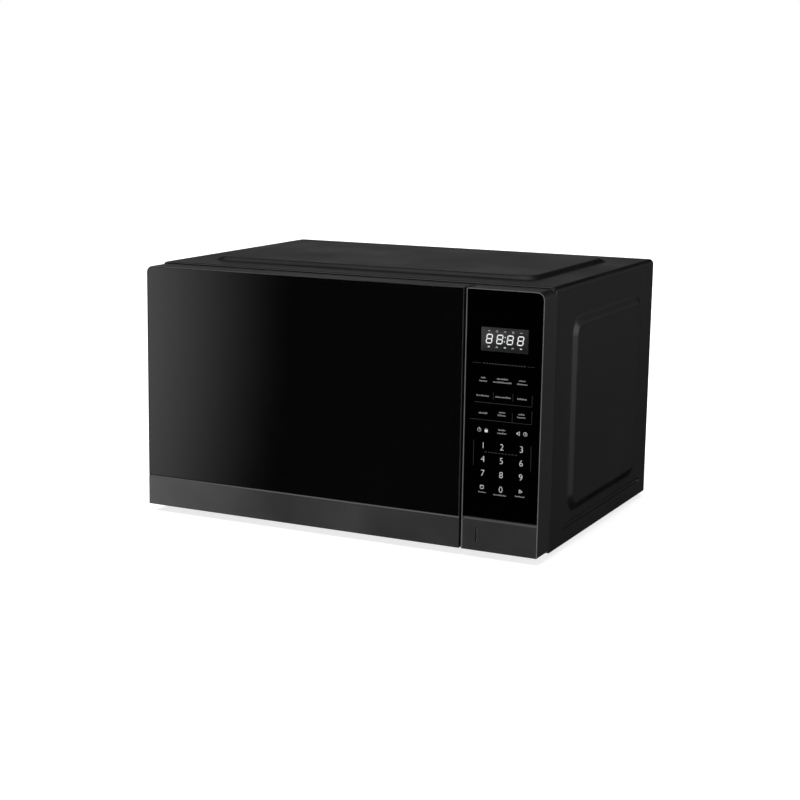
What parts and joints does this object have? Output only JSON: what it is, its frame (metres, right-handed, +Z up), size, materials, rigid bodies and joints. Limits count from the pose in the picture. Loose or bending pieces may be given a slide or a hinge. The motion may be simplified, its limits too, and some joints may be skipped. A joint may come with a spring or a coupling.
{
  "type": "microwave oven",
  "caption": "Black countertop microwave oven with a side-hinged glass door, a touch control panel, a push-button door release and a glass turntable.",
  "frame": {"origin": "on the surface that the feet stand on, below the middle of the overall box", "axes": "+Z up; the front with the door faces -Y; +X is to the right of someone facing it"},
  "size_m": [0.522, 0.43, 0.3125],
  "materials": {
    "casing_paint": "satin black, fine texture",
    "galvanised_steel": "zinc-coated sheet",
    "black_plastic": "fine satin grain",
    "dark_plastic": "satin",
    "choke_plastic": "semi-gloss black",
    "white_plastic": "natural nylon",
    "rubber": "matt",
    "screw_steel": "plated",
    "spring_steel": "bright wire",
    "cavity_enamel": "grey speckled enamel",
    "panel_steel": "satin black",
    "mica": "pressed mica sheet",
    "ferrite": "sintered",
    "copper": "bright copper",
    "aluminium": "mill finish",
    "circuit_board": "solder resist",
    "capacitor_sleeve": "shrink sleeve",
    "motor_steel": "plated can",
    "lamp_glass": "frosted",
    "quartz": "quartz with ceramic ends",
    "clear_glass": "tempered clear glass",
    "clear_film": "clear film",
    "black_glass": "glossy glass, printed black behind",
    "dark_trim": "dark brushed finish",
    "wire_insulation": "flexible insulation"
  },
  "bodies": {
    "chassis": {"outer_casing": "casing_paint", "base_plate": "galvanised_steel", "back_panel": "galvanised_steel", "wall_spacers": "black_plastic", "feet": "rubber", "casing_screws": "screw_steel", "cord_inlet_bush": "black_plastic", "cavity": "cavity_enamel", "front_plate": "cavity_enamel", "mica_cover": "mica", "waveguide": "galvanised_steel", "magnetron_yoke": "galvanised_steel", "magnetron_magnets": "ferrite", "magnetron_tube": "copper", "magnetron_fins": "aluminium", "magnetron_filter_box": "galvanised_steel", "inverter_tray": "white_plastic", "inverter_board": "circuit_board", "inverter_transformer": "ferrite", "inverter_heat_sinks": "aluminium", "inverter_capacitors": "capacitor_sleeve", "filter_board": "circuit_board", "thermal_cutout": "white_plastic", "fan_shroud": "black_plastic", "fan_motor": "motor_steel", "air_guide": "white_plastic", "lamp_holder": "galvanised_steel", "lamp_bulb": "lamp_glass", "grill_reflector": "aluminium", "grill_tubes": "quartz", "turntable_motor": "motor_steel", "interlock_bracket": "white_plastic", "interlock_switches": "dark_plastic", "control_panel_frame": "black_plastic", "control_glass": "black_glass", "display_module": "dark_plastic", "control_board": "circuit_board", "button_springs": "spring_steel", "hinge_upper": "galvanised_steel", "hinge_lower": "galvanised_steel", "hinge_screws": "screw_steel", "internal_wiring": "wire_insulation"},
    "door": {"door_frame": "black_plastic", "door_glass": "black_glass", "door_band": "dark_trim", "door_inner_panel": "panel_steel", "inner_window": "clear_film", "choke_cover": "choke_plastic", "latch_spring": "spring_steel"},
    "latch": {"latch_hook": "white_plastic"},
    "button": {"release_button": "dark_trim"},
    "lever": {"release_lever": "white_plastic"},
    "drive": {"motor_shaft": "screw_steel", "drive_coupler": "white_plastic"},
    "tray": {"glass_tray": "clear_glass"},
    "ring": {"roller_ring": "dark_plastic"},
    "wheel_1": {"roller_wheel_1": "white_plastic"},
    "wheel_2": {"roller_wheel_2": "white_plastic"},
    "wheel_3": {"roller_wheel_3": "white_plastic"},
    "fan": {"fan_blade": "white_plastic"}
  },
  "joints": [
    {"name": "door_hinge", "type": "hinge", "parent": "chassis", "child": "door", "pos_m": [-0.2465, -0.1915, 0.1575], "axis": [0, 0, -1], "range_deg": [0, 100]},
    {"name": "button_press", "type": "slide", "parent": "chassis", "child": "button", "axis": [0, 1, 0], "range_m": [0, 0.005], "stiffness_N_per_m": 400, "springref_m": -0.006, "deforming": ["button_springs"]},
    {"name": "lever_turn", "type": "hinge", "parent": "chassis", "child": "lever", "pos_m": [0.157, -0.16, 0.101], "axis": [1, 0, 0], "range_deg": [0, 26.6]},
    {"name": "latch_slide", "type": "slide", "parent": "door", "child": "latch", "axis": [0, 0, -1], "range_m": [0, 0.005], "stiffness_N_per_m": 250, "springref_m": -0.01, "deforming": ["latch_spring"]},
    {"name": "turntable_spin", "type": "hinge", "parent": "chassis", "child": "drive", "pos_m": [-0.05, 0.0015, 0.045], "axis": [0, 0, 1], "continuous": true},
    {"name": "tray_lift", "type": "slide", "parent": "drive", "child": "tray", "axis": [0, 0, 1], "range_m": [0, 0.06]},
    {"name": "ring_spin", "type": "hinge", "parent": "chassis", "child": "ring", "pos_m": [-0.05, 0.0015, 0.048], "axis": [0, 0, 1], "continuous": true},
    {"name": "fan_spin", "type": "hinge", "parent": "chassis", "child": "fan", "pos_m": [0.19, 0.13, 0.19], "axis": [0, 1, 0], "continuous": true},
    {"name": "wheel_1_roll", "type": "hinge", "parent": "ring", "child": "wheel_1", "pos_m": [-0.05, 0.0995, 0.048], "axis": [0, 1, 0], "continuous": true},
    {"name": "wheel_2_roll", "type": "hinge", "parent": "ring", "child": "wheel_2", "pos_m": [-0.13487, -0.0475, 0.048], "axis": [-0.866, -0.5, 0], "continuous": true},
    {"name": "wheel_3_roll", "type": "hinge", "parent": "ring", "child": "wheel_3", "pos_m": [0.03487, -0.0475, 0.048], "axis": [0.866, -0.5, 0], "continuous": true}
  ],
  "couplings": [
    {"joint": "lever_turn", "follows": "button_press", "rad_per_m": 92.73},
    {"joint": "latch_slide", "follows": "button_press", "ratio": 1},
    {"joint": "ring_spin", "follows": "turntable_spin", "ratio": 0.5},
    {"joint": "wheel_1_roll", "follows": "turntable_spin", "ratio": -6.2025},
    {"joint": "wheel_2_roll", "follows": "turntable_spin", "ratio": -6.2025},
    {"joint": "wheel_3_roll", "follows": "turntable_spin", "ratio": -6.2025}
  ]
}
